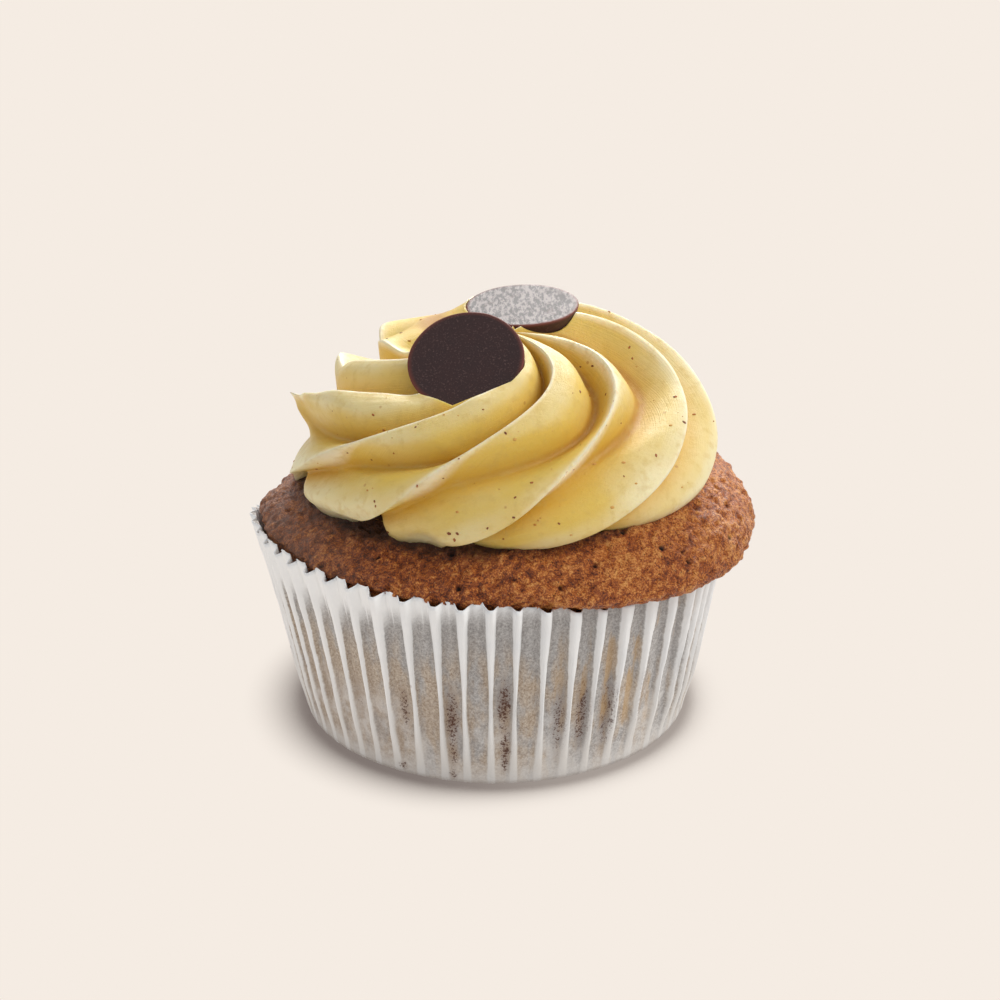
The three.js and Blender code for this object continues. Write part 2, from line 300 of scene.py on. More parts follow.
# %% Build a closed body from rings
def ring_body(name, rings, first, last):
    """rings is (levels, columns, 3) in millimetres, turning to the left and going up the outside."""
    levels, columns, _ = rings.shape
    points = np.concatenate([[first], rings.reshape(-1, 3), [last]]) * MM
    i = np.arange(columns)
    j = (i + 1) % columns
    quads = []
    for level in range(levels - 1):
        low = 1 + level * columns
        quads.append(np.stack([low + i, low + j, low + columns + j, low + columns + i], 1))
    top = 1 + (levels - 1) * columns
    faces = np.stack([np.zeros_like(i), 1 + j, 1 + i], 1).tolist()
    faces += np.concatenate(quads).tolist()
    faces += np.stack([top + i, top + j, np.full_like(i, len(points) - 1)], 1).tolist()
    mesh = bpy.data.meshes.new(name)
    mesh.from_pydata(points.tolist(), [], faces)
    mesh.shade_smooth()
    print(name, len(mesh.vertices), "points", len(mesh.polygons), "faces")
    return add_object(name, mesh)


def paint_points(body, name, values):
    """Keeps a number for each point, for the finish to read."""
    layer = body.data.attributes.new(name, "FLOAT", "POINT")
    layer.data.foreach_set("value", np.asarray(values, np.float32))


# %% [markdown]
# Geometry Nodes work on a carrier object. This helper hangs a tree on it, sets the named inputs by
# their identifiers, and then keeps only the finished mesh.


# %% Run a tree
def start_tree(name, inputs):
    tree = bpy.data.node_groups.new(name, "GeometryNodeTree")
    for way in ("OUTPUT", "INPUT"):
        tree.interface.new_socket("Geometry", in_out=way, socket_type="NodeSocketGeometry")
    for label, value in inputs.items():
        kind = "NodeSocketInt" if isinstance(value, int) else "NodeSocketFloat"
        tree.interface.new_socket(label, in_out="INPUT", socket_type=kind)
    bench = Bench(tree)
    given = bench.node("NodeGroupInput")
    return bench, {label: given.also(label) for label in ["Geometry", *inputs]}


def end_tree(bench, shape, material):
    real = bench.node("GeometryNodeRealizeInstances", {"Geometry": shape})
    smooth = bench.node("GeometryNodeSetShadeSmooth", {"Geometry": real})
    dressed = bench.node("GeometryNodeSetMaterial", {"Geometry": smooth, "Material": material})
    bench.node("NodeGroupOutput", {"Geometry": dressed})


def grow(name, tree, inputs, carrier_mesh=None):
    piece = add_object(name, carrier_mesh or bpy.data.meshes.new(name))
    nodes = piece.modifiers.new(name, "NODES")
    nodes.node_group = tree
    for item in tree.interface.items_tree:
        if item.item_type == "SOCKET" and item.in_out == "INPUT" and item.name in inputs:
            nodes[item.identifier] = inputs[item.name]
    return piece


def settle(piece):
    """Turns what the modifiers make into a plain mesh."""
    depsgraph = bpy.context.evaluated_depsgraph_get()
    evaluated = piece.evaluated_get(depsgraph)
    mesh = bpy.data.meshes.new_from_object(evaluated, preserve_all_data_layers=True, depsgraph=depsgraph)
    piece.modifiers.clear()
    piece.data = mesh
    print(piece.name, len(mesh.vertices), "points", len(mesh.polygons), "faces")
    return piece


# %% [markdown]
# ## Paper case
# The real one is a round of greaseproof paper, pressed into a cup with 56 pleats. The outward folds
# stand clear of the cake and stay white. The flat columns between them touch it, so they look grey,
# with stains where fat has come through. One pleat turned round the axis would make every pleat the
# same. A bent grid placed by a rule keeps one sheet, and lets each pleat wander in its own way.

# %% Finish of the paper
# Angle, height, tallness, width and strength of each streak of fat
STREAKS = (
    (-1.988, 10.3, 2.4, 0.022, 0.9), (-1.758, 9.6, 3.6, 0.026, 1.1), (-1.52, 12.0, 3.0, 0.026, 1.2),
    (-1.512, 5.4, 2.6, 0.022, 1.1), (-1.15, 9.6, 4.0, 0.026, 1.2), (-1.02, 9.2, 4.8, 0.03, 0.8),
    (-0.82, 10.0, 5.0, 0.03, 0.5), (-1.264, 9.0, 5.0, 0.03, 0.6), (-2.027, 1.6, 0.5, 0.02, 1.0),
    (-1.764, 1.4, 0.6, 0.018, 0.9), (-2.244, 9.5, 4.0, 0.03, 0.3), (-1.76, 4.2, 1.6, 0.02, 0.6),
    (0.7, 9.0, 3.0, 0.024, 0.8), (1.43, 8.0, 4.0, 0.024, 0.9), (2.2, 10.0, 3.0, 0.024, 0.7),
    (2.93, 7.0, 3.0, 0.024, 0.6),
)


def paper_finish():
    material, bench, shader, where = start_finish("greaseproof_paper", 0.25)
    fold, height, across, side = map(bench.attribute, ("fold", "height", "across", "side"))
    patchy = bench.noise(where, 240, 3, 0.6)
    streaky = bench.noise(bench.stretch(where, (1, 1, 0.3)), 420, 3, 0.6)
    fine = bench.noise(where, 3400, 3, 0.8)
    blotch = bench.noise(where, 900, 3, 0.7)
    off_middle = across.maths("ABSOLUTE")
    left = bench.step(-0.1, 0.75, side * -1)
    # Only the columns touch the cake, from an arch below the rim down to a plain foot
    arch = 25 - left * (2.8 - bench.step(0.12, 0.42, off_middle) * 1.6) - patchy * left * 3
    lower = bench.step(17, 6, height)
    column = 1 - fold + (blotch - 0.5) * (0.35 + lower * 0.3)
    touching = bench.step(0.42 - lower * 0.2, 0.62 + lower * 0.2, column)
    touching = touching * bench.step(2.0, -1.8, height - arch)
    lifted = bench.step(15, 5, height) * bench.step(0.42, 0.7, patchy + (blotch - 0.5) * 0.5)
    touching = touching * (1 - lifted * 0.6)
    touching = touching * (0.35 + 0.65 * bench.step(0.5, 4.0, height + (patchy - 0.5) * 5))
    grain = bench.step(0.3, 0.7, fine)
    grey = bench.tint(grain, srgb(148, 144, 142), srgb(200, 198, 196))
    beige = bench.tint(grain, srgb(156, 136, 118), srgb(210, 198, 182))
    warm = bench.step(0.44, 0.66, streaky + left * 0.12 + bench.step(22, 8, height) * 0.06)
    warm = warm * bench.step(23, 15, height)
    inner = bench.tint(warm, grey, beige)
    inner = bench.tint(left * bench.step(16, 8, height) * 0.45, inner, srgb(166, 150, 136))
    white = bench.tint(patchy + left * 0.5, srgb(228, 230, 232), srgb(250, 250, 249))
    # Painted shade: the white of the paper greys towards the foot, unevenly.
    white = bench.tint(bench.step(14, 2, height) * (0.3 + patchy * 0.5), white, srgb(202, 196, 188))
    colour = bench.tint(touching, white, inner)
    # Fat has come through most in a few columns, as upright speckled streaks
    sideways = bench.split(where)
    angle = sideways.also("Y").maths("ARCTAN2", sideways)
    streak = 0
    for turned, level, tall, wide, strength in STREAKS:
        beside, above = (angle - turned) / wide, (height - level) / tall
        streak = (beside * beside * -1 - above * above).maths("EXPONENT") * strength + streak
    speckled = bench.step(0.5, 0.6, fine * 0.75 + blotch * 0.25 + streak * 0.09 - 0.03)
    colour = bench.tint(streak * 0.35, colour, srgb(142, 110, 84))
    colour = bench.tint(speckled * bench.step(0.06, 0.4, streak) * 0.92, colour, srgb(80, 44, 28))
    golden = bench.step(0.05, 0.6, side) * bench.step(0.42, 0.58, streaky)
    golden = golden * bench.step(0.12, 0.3, off_middle) * bench.step(-0.1, 0.1, across * -1)
    golden = golden * bench.step(4, 9, height) * bench.step(23, 19, height)
    colour = bench.tint(golden * 0.55, colour, srgb(190, 156, 108))
    low = bench.step(2, 5, height) * bench.step(17, 12, height)
    colour = bench.tint(bench.dots(where, 240, 0.07, 0.13, 0.72, 0.74) * low, colour, srgb(104, 66, 44))
    crinkle = bumped(bench, bench.noise(where, 1500, 3, 0.6) * 0.6 + blotch, 0.00016, 0.55)
    feed(bench, shader, Base_Color=colour, Roughness=0.72 + patchy * 0.2, Normal=crinkle)
    return material


# %% The rule of the pleated sheet
PAPER = {
    "Pleats": 56, "Base Radius": FOOT_RADIUS, "Slope": WALL_SLOPE, "Rim Height": RIM_HEIGHT,
    "Rim Lean": RIM_LEAN, "Fold Depth Top": FOLD_AT_TOP, "Fold Depth Foot": FOLD_AT_FOOT,
    "Fold Width Top": 0.29, "Fold Width Foot": 0.085, "Wander": 0.06, "Crinkle": 0.1, "Seed": 7,
}
CELLS = 16
ROWS = 46
BOTTOM_SHARE = 0.07
PAPER_THICKNESS = 0.12


def paper_tree(material):
    bench, given = start_tree("pleated_paper", PAPER)
    pleats = given["Pleats"]
    sockets = {"Size X": 1.0, "Size Y": 1.0, "Vertices X": PAPER["Pleats"] * CELLS + 1, "Vertices Y": ROWS}
    grid = bench.node("GeometryNodeMeshGrid", sockets, "Mesh")
    flat = bench.split(bench.node("GeometryNodeInputPosition"))
    turn, rise = flat + 0.5, flat.also("Y") + 0.5
    angle = turn * TURN
    cosine = angle.maths("COSINE")
    sine = angle.maths("SINE")
    left = (cosine * -1).maths("MAXIMUM", 0)
    pressed = bench.step(0.1, 0.6, (angle + 0.09).maths("COSINE")) * 0.9
    pressed = pressed + 2.2 * left * bench.step(-0.25, 0.35, sine)
    rim = given["Rim Height"] - given["Rim Lean"] * cosine - RIM_TIP * sine - pressed
    # Which pleat a point is in, and where across it: 0 on the fold, 0.5 in the middle of a column
    count = turn * pleats
    # The pleats stand closer at the back and spread toward the right of the front
    spread = 0.3 * bench.step(37, 40, count) + 0.22 * bench.step(43.5, 46, count)
    spread = spread + 0.76 * bench.step(46, 51, count)
    back = (35 - count).maths("MAXIMUM", 0) - (count - 50.5).maths("MAXIMUM", 0)
    count = count + 0.39 - spread - back * (1.28 / 40.5)
    number = (count + 0.5).maths("FLOOR")
    lap = number - pleats * (number / pleats).maths("FLOOR")
    chance = lambda shift: bench.random(given["Seed"] + shift, ID=lap)
    ring = bench.join(cosine * FOOT_RADIUS, sine * FOOT_RADIUS, rise * WALL_HEIGHT)
    wall = ((rise - BOTTOM_SHARE) / (1 - BOTTOM_SHARE)).maths("MAXIMUM", 0)
    bend = bench.noise(ring, 0.28, 2) - 0.5
    kink = (chance(5) - 0.5) * (1 - bench.step(0, 0.16, (wall - 0.4).maths("ABSOLUTE")))
    drift = (chance(1) - 0.5) * given["Wander"] + bend * 0.1 * wall + kink * 0.08
    across = count - number - drift
    away = across.maths("ABSOLUTE")
    # A fold is wide at the rim, a thin line half way down, and soft again near the foot
    opening = bench.step(0.35, 1.0, wall)
    width = given["Fold Width Foot"] + (given["Fold Width Top"] - given["Fold Width Foot"]) * opening
    width = width * (0.85 + chance(2) * 0.3) + (1 - bench.step(0.05, 0.55, wall)) * 0.17
    flat_top = width * 0.3
    ridge = (width - away) / (width - flat_top)
    ridge = ridge.maths("MAXIMUM", 0).maths("MINIMUM", 1)
    fold = bench.step(0, 1, ridge) * 0.5 + ridge * 0.5
    # Rim: a notch at each fold, a tongue with small corners on each column
    into = (away - width) / (0.5 - width)
    into = into.maths("MAXIMUM", 0)
    corner = (into * into * -50).maths("EXPONENT") * (0.1 + chance(3) * 0.35) * (1 - left)
    frontal = 0.25 + 0.75 * bench.step(-0.1, -0.5, sine)
    tongue = 0.05 + corner + left * frontal * (0.35 + chance(4) * 0.5) * bench.step(0, 0.9, into)
    notch = (-0.05 - left * frontal * 0.75) * (1 - (away / width) ** 2)
    on_fold = away < width
    top = rim + notch * on_fold + tongue * (1 - on_fold) - 1.4 * left * bench.step(-0.1, 0.3, sine)
    height = wall * top
    # Radius at that height
    depth_share = (height / FOLD_FULL_FROM).maths("MINIMUM", 1) ** 0.55
    deepest = given["Fold Depth Top"] - 0.8 * left**2
    depth = given["Fold Depth Foot"] + (deepest - given["Fold Depth Foot"]) * depth_share
    climb = height / WALL_HEIGHT
    leaning = left * (0.9 * climb**3 - 1.0) - cosine.maths("MAXIMUM", 0) * (0.2 + 0.4 * climb**2)
    columns = given["Base Radius"] + given["Slope"] * height + leaning - depth
    bow = (1 - (1 - into) * (1 - into)) * 0.22 * wall + left * 0.5 * bench.step(0.82, 1, wall) * into
    rough = bench.noise(ring, 0.55, 3) - 0.5
    tuck = (1 - (height / 1.1).maths("MINIMUM", 1)) ** 2 * 0.45
    depth = depth * bench.step(-0.5, 7, height) * fold * (0.83 + chance(6) * 0.34)
    radius = columns + depth + bow + rough * given["Crinkle"] * 3 * wall - tuck
    radius = radius * (rise / BOTTOM_SHARE).maths("MINIMUM", 1)
    spot = bench.join(radius * cosine * MM, radius * sine * MM, height * MM)
    shape = grid
    for name, value in {"fold": fold, "height": height, "across": across, "side": cosine}.items():
        sockets = {"Geometry": shape, "Name": name, "Value": value}
        shape = bench.node("GeometryNodeStoreNamedAttribute", sockets, data_type="FLOAT")
    shape = bench.node("GeometryNodeSetPosition", {"Geometry": shape, "Position": spot})
    shape = bench.node("GeometryNodeMergeByDistance", {"Geometry": shape, "Distance": 0.000004})
    end_tree(bench, shape, material)
    return bench.tree


# %% Paper case
paper = grow("paper_case_pleats", paper_tree(paper_finish()), PAPER)
thickness = paper.modifiers.new("paper_thickness", "SOLIDIFY")
thickness.thickness = PAPER_THICKNESS * MM
thickness.offset = -1
settle(paper)

# %% [markdown]
# ## Cake
# The cake is a soft brown sponge that has risen over the right side of its case and stays inside it on
# the left. Its crust is full of crumbs and pores. A displacement in the material would be lost when the
# mesh is used elsewhere, so those of half a millimetre and more are moved points; finer grain is bump.


# %% Scattered numbers and lumps for the crumb
def hashed(cell, seed):
    s = np.sin(cell @ np.array([127.1, 311.7, 74.7]) + seed * 19.19) * 43758.5453
    return s - np.floor(s)


def smooth_lumps(points, size, seed):
    """Smooth random height between -1 and 1, with lumps of the given size."""
    p = points / size
    base = np.floor(p)
    t = p - base
    t = t * t * (3 - 2 * t)
    total = np.zeros(len(p))
    for corner in np.ndindex(2, 2, 2):
        weight = np.prod(np.where(np.array(corner) == 1, t, 1 - t), axis=1)
        total += weight * hashed(base + corner, seed)
    return 2 * total - 1


def nearest_crumb(points, size, seed):
    """Distance to the nearest scattered centre, in cells, and a number that belongs to it."""
    p = points / size
    base = np.floor(p)
    best = np.full(len(p), 9.0)
    label = np.zeros(len(p))
    for step in np.ndindex(3, 3, 3):
        cell = base + np.array(step) - 1
        centre = cell + np.stack([hashed(cell, seed + k) for k in (1, 2, 3)], 1)
        gap = np.linalg.norm(p - centre, axis=1)
        closer = gap < best
        best = np.where(closer, gap, best)
        label = np.where(closer, hashed(cell, seed + 4), label)
    return best, label


# %% Outline of the crown
def overhang(a):
    return 5.3 * ease(0.05, 1, rightward(a))


def hangs(a):
    return ease(-0.2, 0.25, rightward(a))


def widest_height(a):
    nestles = mix(-1.2, 0, ease(-0.75, -0.2, rightward(a)))
    return rim_height(a) + mix(nestles, 1.5, hangs(a))


def crown_radius(a):
    return inside_radius(np.minimum(26, widest_height(a)), a) + overhang(a)


def lip_radius(z, a, inset):
    """Underside of the crown; it never draws in behind the paper."""
    inside = inside_radius(z, a)
    return mix(inside, np.maximum(inside, crown_radius(a) - inset), hangs(a))


def crown_height(r, a):
    low = widest_height(a)
    full = mix(2, 3.4, ease(-0.2, 0.9, rightward(a)))
    dome = lambda q: low + (DOME_TOP - low) * np.sqrt(np.maximum(0, 1 - (q / crown_radius(a)) ** full))
    sinks = np.clip((r - SEAT_RADIUS) / (DOME_FROM - SEAT_RADIUS), 0, 1)
    return np.where(r >= DOME_FROM, dome(r), mix(SEAT_HEIGHT, dome(DOME_FROM), sinks))


# %% Rings of the cake
CAKE_COLUMNS = 720
DOME_RINGS = 84
SMOOTHINGS = 5


def cake_rings():
    a = np.arange(CAKE_COLUMNS) / CAKE_COLUMNS * TURN
    wide, rim, hang, crown = widest_height(a), rim_height(a), hangs(a), crown_radius(a)
    wall = lambda z: (inside_radius(z, a), z + 0 * a)
    neck = mix(wide - 1.6, rim + 0.05, hang)
    lip = mix(wide - 0.9, rim + 0.15, hang)
    turn_up = mix(wide - 0.4, rim + 0.5, hang)
    marks = [
        (inside_radius(CAKE_FOOT, a) - 1.6, CAKE_FOOT + 0 * a), wall(2.2), wall(11), wall(wide - 3.4),
        (inside_radius(np.minimum(neck, rim), a), neck),
        (lip_radius(lip, a, 1.8), lip),
        (lip_radius(turn_up, a, 0.7), turn_up),
        (crown, wide),
    ]
    steps = [1, 1, 2, 4, 9, 4, 4]
    rows = []
    for (r0, z0), (r1, z1), count in zip(marks, marks[1:], steps):
        rows += [(mix(r0, r1, k / count), mix(z0, z1, k / count)) for k in range(count)]
    for k in range(DOME_RINGS):
        r = mix(20, crown, np.cos(k / (DOME_RINGS - 1) * np.pi / 2))
        rows.append((r, crown_height(r, a)))
    radii, heights = (np.array(values) for values in zip(*rows))
    for _ in range(SMOOTHINGS):
        for values in (radii, heights):
            values[8:-4] = (values[7:-5] + 2 * values[8:-4] + values[9:-3]) / 4
    # Just above the rim the cake swells out against the paper
    closes = ease(-1.0, 0.05, heights - rim) * (1 - ease(1.2, 3.0, heights - rim))
    radii += 0.75 * closes * (1 - 0.7 * hang * ease(0.35, 0.9, rightward(a)))
    radii = np.vstack([radii, SEAT_RADIUS + 0 * a])
    heights = np.vstack([heights, SEAT_HEIGHT + 0 * a])
    return np.stack([radii * np.cos(a), radii * np.sin(a), heights], 2)


# %% Crumbs and pores
# Height, width and seed of each size of lump
CRUMB = ((0.3, 3.4, 1), (0.15, 1.5, 2), (0.2, 0.75, 8), (0.15, 0.45, 9))


def crumbled(rings):
    """Moves the rings along their own normals, and says how deep and how near a pore each point is."""
    along = np.roll(rings, -1, 1) - np.roll(rings, 1, 1)
    upward = np.gradient(rings, axis=0)
    normal = np.cross(along, upward)
    normal /= np.maximum(np.linalg.norm(normal, axis=2, keepdims=True), 1e-9)
    points = rings.reshape(-1, 3)
    radius = np.hypot(points[:, 0], points[:, 1])
    angle = np.arctan2(points[:, 1], points[:, 0])
    above = points[:, 2] - widest_height(angle) + (1 - hangs(angle))
    shown = ease(20.3, 22, radius) * ease(-3, -0.5, above)
    small, _ = nearest_crumb(points + 0.35 * smooth_lumps(points, 0.9, 5)[:, None], 0.8, 11)
    pore, label = nearest_crumb(points, 2.2, 23)
    size = 0.1 + 0.16 * label
    pit = np.where(label > 0.55, np.clip(1 - (pore / size) ** 2, 0, 1), 0)
    rough = sum(lumps * smooth_lumps(points + lumps, grain, seed) for lumps, grain, seed in CRUMB)
    height = rough + 0.24 * (0.5 - small) - 0.5 * pit * (0.4 + label)
    moved = points + normal.reshape(-1, 3) * (height * shown)[:, None]
    return moved.reshape(rings.shape), pit * shown, (0.5 - small) * shown


# %% Finish of the sponge
def sponge_finish():
    material, bench, shader, where = start_finish("brown_sponge", 0.5)
    pit, crumb, damp, side = map(bench.attribute, ("pit", "crumb", "damp", "side"))
    broad = bench.noise(where, 260, 3, 0.6)
    grain = bench.noise(where, 4300, 4, 0.75)
    fine = bench.noise(where, 7500, 2, 0.7)
    # The crumb is painted a little lighter towards the right, as painted light from that side.
    mixed = broad * 0.2 + grain * 0.6 + fine * 0.2 + crumb * 0.16 + side * 0.03
    mixed = (mixed - 0.5) * 1.9 + 0.527
    browning = [
        (0.3, srgb(66, 28, 12)), (0.44, srgb(138, 64, 24)), (0.58, srgb(198, 106, 38)),
        (0.76, srgb(246, 178, 98)),
    ]
    ramp = bench.node("ShaderNodeValToRGB", {"Fac": mixed}, "Color", stops=browning)
    # Painted shade: the pores are painted near black, for the shade inside them.
    colour = bench.tint(bench.step(0.3, 0.9, pit), ramp, srgb(40, 22, 16))
    glint = bench.dots(where, 2800, 0.1, 0.26, 0.8, 0.84)
    colour = bench.tint(glint * 0.7, colour, srgb(240, 196, 140))
    # Painted shade: the small holes are painted dark, for the shade inside them.
    hole = bench.dots(where, 2800, 0.14, 0.34, 0.26, 0.22)
    colour = bench.tint(hole * 0.7, colour, srgb(54, 28, 18))
    # Painted sheen: the left side of the crust is painted greyer and lighter.
    colour = bench.tint(bench.step(-0.35, -0.9, side) * 0.35, colour, srgb(180, 142, 118))
    # Painted shade and damp: a dark band on the crumb round the icing's foot, where the icing overhangs.
    colour = bench.tint(damp * 0.85, colour, srgb(36, 24, 20))
    shine = 0.22 + fine * 0.4 - side * 0.06
    height = grain * 0.6 + fine * 0.35 + glint * 0.3 - hole * 0.5
    feed(bench, shader, Base_Color=colour, Roughness=shine, Normal=bumped(bench, height, 0.0006, 1.0))
    return material


# %% Cake
rings, pits, crumbs = crumbled(cake_rings())
cake = ring_body("cake_crumb", rings, [0, 0, CAKE_FOOT], [0, 0, SEAT_HEIGHT])
at = rings.reshape(-1, 3)
# Painted shade and damp under the icing: full within 23.6 mm of the middle, gone by 26.2 mm.
damp = 1 - ease(23.6, 26.2, np.hypot(at[:, 0] - 0.7, at[:, 1]))
for name, values in {"pit": pits, "crumb": crumbs, "damp": damp, "side": at[:, 0] / 30}.items():
    paint_points(cake, name, [0, *values, 0])
cake.data.materials.append(sponge_finish())

# %% [markdown]
# ## Icing
# The icing was piped with a star nozzle in one turn of the hand, so nine arms sweep from the foot to the
# middle. The crests between them are thin and pale, and the creases are deep and warm. In a star swept
# along a spiral all arms would be the same, so each has its own shift and sweep here.

# %% Sizes of the arms
FIRST_ARM = 2.292
TWIST = (2.294, -3.07, 2.798)
SHIFT = np.array([-0.16, 0.19, 0.207, 0.033, -0.209, -0.175, -0.03, 0.077, 0.007])
SWEEP = np.array([0.43, -0.202, -0.504, -0.335, 0.217, -0.05, 0.1, 0.5, 0.3])
CREASE = np.array([3.9, 3.6, 3.6, 3.9, 3.2, 3.0, 1.4, 4.2, 3.6])
CREASE_FOOT = np.array([0.5, 0.62, 0.7, 0.85, 0.5, 0.3, 0.4, 0.4, 0.4])
CREASE_AT_FOOT = np.array([0.35, 0.1, 0.1, 0.08, 0.2, 0.3, 0.4, 0.4, 0.4])
CREASE_AT_TOP = np.array([0.86, 0.82, 0.8, 0.62, 0.5, 0.45, 0.4, 0.45, 0.7])
CREASE_LEAVES = np.array([0.28, 0.25, 0.25, 0.38, 0.1, 0.1, 0.1, 0.1, 0.1])
CREASE_ARRIVES = np.array([0.5, 0.48, 0.58, 0.65, 0.5, 0.5, 0.5, 0.5, 0.5])
# Angle, height, width, tallness and depth of each dent
DENTS = (
    (3.2, 36.4, 0.4, 1.8, 0.9), (3.2, 33.9, 0.4, 1.9, 1.7), (3.17, 39.4, 0.3, 1.4, -1.4),
    (3.1, 39.3, 0.09, 1.0, -0.8), (2.98, 39.9, 0.06, 0.8, 1.1), (3.2, 30.6, 0.2, 0.9, -0.9),
    (3.95, 31.2, 0.22, 1.5, 1.5), (3.55, 32.6, 0.22, 2.0, -1.2), (3.3, 42.0, 0.14, 1.0, -0.7),
    (3.52, 44.2, 0.25, 1.5, -0.9), (2.88, 43.1, 0.24, 2.4, 1.9), (2.6, 45.6, 0.24, 1.2, 2.6),
    (3.06, 48.2, 0.2, 0.7, 1.5), (3.95, 46.9, 0.2, 0.9, 1.0), (4.4, 46.9, 0.18, 0.6, -0.35),
    (4.78, 48.5, 0.12, 0.5, -0.3), (4.06, 33.4, 0.09, 1.4, 0.6), (4.14, 31.6, 0.08, 1.3, -1.1),
    (4.36, 31.6, 0.09, 1.8, 1.1),
)
ARMS, ACROSS, ALONG = 9, 44, 168
FOOT_SHARE = 0.1
SWIRL_RADIUS, SWIRL_RISE, SWIRL_CLIMB = 26.9, 14.6, 18.6
SWIRL_FOOT, SWIRL_BULGE = 31, 35
FOOT_MIDDLE, TOP_MIDDLE = (0.7, 0), (2.0, -1.5)


# %% A point of the icing
def arm_angle(k, s):
    arm = k % ARMS
    swing = s * (TWIST[0] + s * (TWIST[1] + s * TWIST[2]))
    return FIRST_ARM + k / ARMS * TURN + SHIFT[arm] + SWEEP[arm] * s + swing


def icing_outline(u):
    """Radius, height and facing direction of the crests, for a climb from 0 to 1."""
    t = np.maximum(0, 1 - u / FOOT_SHARE)
    q = np.clip((u - FOOT_SHARE) / (1 - FOOT_SHARE), 0, 1) * np.pi / 2
    foot = u < FOOT_SHARE
    out, up = SWIRL_RISE * np.cos(q), SWIRL_RADIUS * np.sin(q)
    long = np.hypot(out, up)
    r = np.where(foot, SWIRL_RADIUS - 2.6 * t**3, SWIRL_RADIUS * np.cos(q) ** 0.92)
    z = np.where(foot, mix(SWIRL_BULGE, SWIRL_FOOT, t), SWIRL_BULGE + SWIRL_RISE * np.sin(q))
    return r, z, np.where(foot, 1, out / long), np.where(foot, -0.35 * t, up / long)


def crease_place(arm, u):
    """How far across the arm its crease lies: near one crest at the foot, near the other at the top."""
    return mix(CREASE_AT_FOOT[arm], CREASE_AT_TOP[arm], ease(CREASE_LEAVES[arm], CREASE_ARRIVES[arm], u))


def crease_shape(arm, f, u):
    blunt = mix(1.9, 1.1, ease(0, 0.3, u))
    skew = np.log(0.5) / np.log(crease_place(arm, u))
    return np.maximum(0, np.sin(np.pi * np.clip(f, 0, 1) ** skew)) ** blunt


def icing_point(arm, f, u):
    r, z, out, up = icing_outline(u)
    s = np.clip((z - SWIRL_FOOT) / SWIRL_CLIMB, 0, 1)
    a = mix(arm_angle(arm, s), arm_angle(arm + 1, s), f)
    grows = mix(CREASE_FOOT[arm % ARMS], 1, ease(0, 0.22, u))
    lift = 2 * ease(0.25, 0.75, s) * np.maximum(0, np.cos(a - 1.4)) * ease(0, 9, r)
    hollow = crease_shape(arm % ARMS, f, u)
    streaks = smooth_lumps(np.stack([f * 13 + arm * 31, u * 7, 0 * f], 1), 1, 41)
    waves = smooth_lumps(np.stack([f * 3 + arm * 17, u * 9, 0 * f], 1), 1, 43)
    depth = np.minimum(CREASE[arm % ARMS] * grows, 0.06 + 0.3 * r) * hollow
    depth = depth + (0.035 * streaks + 0.09 * waves) * ease(1, 5, r)
    for side, level, wide, tall, dent in DENTS:
        apart = (a - side + np.pi) % TURN - np.pi
        depth = depth + dent * np.exp(-((apart / wide) ** 2) - ((z - level) / tall) ** 2)
    x, y = (mix(low, high, s**1.5) for low, high in zip(FOOT_MIDDLE, TOP_MIDDLE))
    reach = np.maximum(0.15, r - depth * out)
    return np.stack([x + reach * np.cos(a), y + reach * np.sin(a), z + lift - depth * up], 1)


# %% Rings of the icing
def icing_rings():
    f = np.tile(np.arange(ACROSS) / ACROSS, ARMS)
    arm = np.repeat(np.arange(ARMS), ACROSS)
    foot = icing_point(arm, f, np.zeros(len(f)))
    angle = np.arctan2(foot[:, 1], foot[:, 0])
    edge = np.hypot(foot[:, 0], foot[:, 1])
    rings = []
    for share in (SEAT_RADIUS / edge, 21 / edge, (edge - 1) / edge, 1 + 0 * edge):
        x, y = foot[:, 0] * share, foot[:, 1] * share
        rings.append(np.stack([x, y, crown_height(np.hypot(x, y), angle) - BED_GAP], 1))
    climbs = mix(0.012, 1, (np.arange(ALONG) / (ALONG + 0.3)) ** 0.92)
    rings += [icing_point(arm, f, u + np.zeros(len(f))) for u in climbs]
    return np.array(rings), climbs


# %% Icing body
rings, climbs = icing_rings()
icing = ring_body("icing_swirl", rings, [0, 0, SEAT_HEIGHT - BED_GAP], [*TOP_MIDDLE, 49.5])


# %% Where each face lies on its arm
def map_arms(body):
    """UV map "arm": how far up the arm, and how far across it. UV map "lie": how deep, and how steep."""
    columns = ARMS * ACROSS
    rows = np.concatenate([[0, 0, 0, 0], climbs])
    mesh = body.data
    last = len(mesh.vertices) - 1
    loops = np.zeros(len(mesh.loops), np.int32)
    mesh.loops.foreach_get("vertex_index", loops)
    starts = np.zeros(len(mesh.polygons), np.int32)
    counts = np.zeros(len(mesh.polygons), np.int32)
    mesh.polygons.foreach_get("loop_start", starts)
    mesh.polygons.foreach_get("loop_total", counts)
    owner = np.repeat(np.arange(len(starts)), counts)
    level = np.clip((loops - 1) // columns, 0, len(rows) - 1)
    column = (loops - 1) % columns
    share = (column % ACROSS) / ACROSS
    highest = np.zeros(len(starts))
    np.maximum.at(highest, owner, share)
    share = np.where((share == 0) & (highest[owner] > 0.5), 1, share)
    share = np.where((loops == 0) | (loops == last), 0.5, share)
    along = np.where(loops == last, 1, rows[level])
    arm = np.clip(column // ACROSS, 0, ARMS - 1)
    crease = crease_place(arm, along)
    off_crease = np.where(crease > 0.5, share - crease, crease - share)
    steep = ease(-0.2, 0.04, off_crease) * np.sqrt(np.abs(2 * crease - 1))
    for name, first, second in (("arm", along, share), ("lie", crease_shape(arm, share, along), steep)):
        layer = mesh.uv_layers.new(name=name)
        layer.data.foreach_set("uv", np.stack([first, second], 1).astype(np.float32).ravel())


map_arms(icing)

# %% [markdown]
# The discs press beds into the icing, cut with a boolean so that the edge of each bed is crisp. One arm
# laps over the low edge of the front disc. It is kept by cutting that cutter with a slanted plane first.

